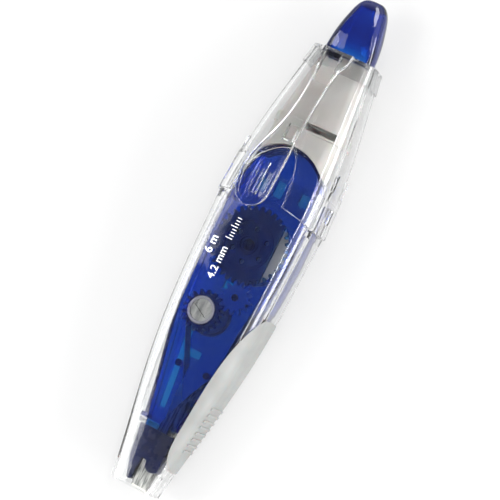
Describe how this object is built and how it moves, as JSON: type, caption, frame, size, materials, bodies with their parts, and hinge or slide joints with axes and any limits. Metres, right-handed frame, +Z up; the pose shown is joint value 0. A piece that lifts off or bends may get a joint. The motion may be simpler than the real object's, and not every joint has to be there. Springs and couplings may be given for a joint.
{
  "type": "correction tape roller",
  "caption": "Retractable pen-style correction tape roller: clear casing with pocket clip, push button, translucent blue refill with geared reels, tape head and soft grip pad.",
  "frame": {"origin": "centre of the footprint on the rest plane, with the roller lying on its broad back", "axes": "+X along the body from the open tip to the push button, +Y across the width, +Z up out of the broad front where the clip is"},
  "size_m": [0.1376, 0.0286, 0.0202],
  "materials": {
    "clear_plastic": "clear polystyrene, polished, faint moulding haze",
    "grip_rubber": "pale translucent elastomer, satin",
    "blue_gloss": "deep blue tinted plastic, glossy",
    "blue_tint": "translucent royal blue plastic, glossy",
    "navy_plastic": "dark navy plastic, semi-gloss",
    "pale_grey_plastic": "pale grey moulded plastic, satin",
    "white_plastic": "off-white acetal, satin",
    "grey_plastic": "mid-grey plastic, satin",
    "spring_steel": "drawn spring wire",
    "clutch_rubber": "black rubber ring",
    "white_tape": "opaque white correction tape, matte",
    "carrier_film": "waxed carrier film, faintly cream"
  },
  "bodies": {
    "barrel": {"lower_barrel": "clear_plastic", "grip_pad": "grip_rubber"},
    "casing": {"upper_casing": "clear_plastic", "clip_ring": "clear_plastic", "return_spring": "spring_steel"},
    "clip": {"pocket_clip": "clear_plastic"},
    "plunger": {"knock_button": "blue_gloss", "inner_slider": "pale_grey_plastic", "cartridge_front_shell": "blue_tint", "cartridge_back_shell": "blue_tint", "tip_holder": "navy_plastic", "tape_head": "clear_plastic", "tape_supply_run": "white_tape", "tape_return_run": "carrier_film"},
    "supply_reel": {"supply_gear": "white_plastic", "supply_spool": "white_plastic", "clutch_ring": "clutch_rubber", "correction_tape_roll": "white_tape"},
    "take_up": {"take_up_reel": "white_plastic", "take_up_dial": "grey_plastic", "used_tape_roll": "carrier_film"},
    "idler": {"idler_gear": "white_plastic"}
  },
  "joints": [
    {"name": "casing_pull", "type": "slide", "parent": "barrel", "child": "casing", "axis": [1, 0, 0], "range_m": [0, 0.0095]},
    {"name": "clip_flex", "type": "hinge", "parent": "casing", "child": "clip", "pos_m": [0.04748, 0, 0.0164], "axis": [0, 1, 0], "range_deg": [0, 6], "stiffness_Nm_per_rad": 0.05},
    {"name": "knock", "type": "slide", "parent": "casing", "child": "plunger", "axis": [-1, 0, 0], "range_m": [0, 0.007], "stiffness_N_per_m": 150, "springref_m": -0.003, "deforming": ["return_spring"]},
    {"name": "supply_spin", "type": "hinge", "parent": "plunger", "child": "supply_reel", "pos_m": [-0.0015, 0, 0.0083], "axis": [0, 0, 1], "continuous": true},
    {"name": "idler_spin", "type": "hinge", "parent": "plunger", "child": "idler", "pos_m": [-0.01501, -0.00283, 0.0083], "axis": [0, 0, 1], "continuous": true},
    {"name": "take_up_spin", "type": "hinge", "parent": "plunger", "child": "take_up", "pos_m": [-0.0215, 0.0034, 0.0083], "axis": [0, 0, 1], "continuous": true}
  ],
  "couplings": [
    {"joint": "idler_spin", "follows": "supply_spin", "ratio": -2.5385},
    {"joint": "take_up_spin", "follows": "supply_spin", "ratio": 1.9412}
  ]
}
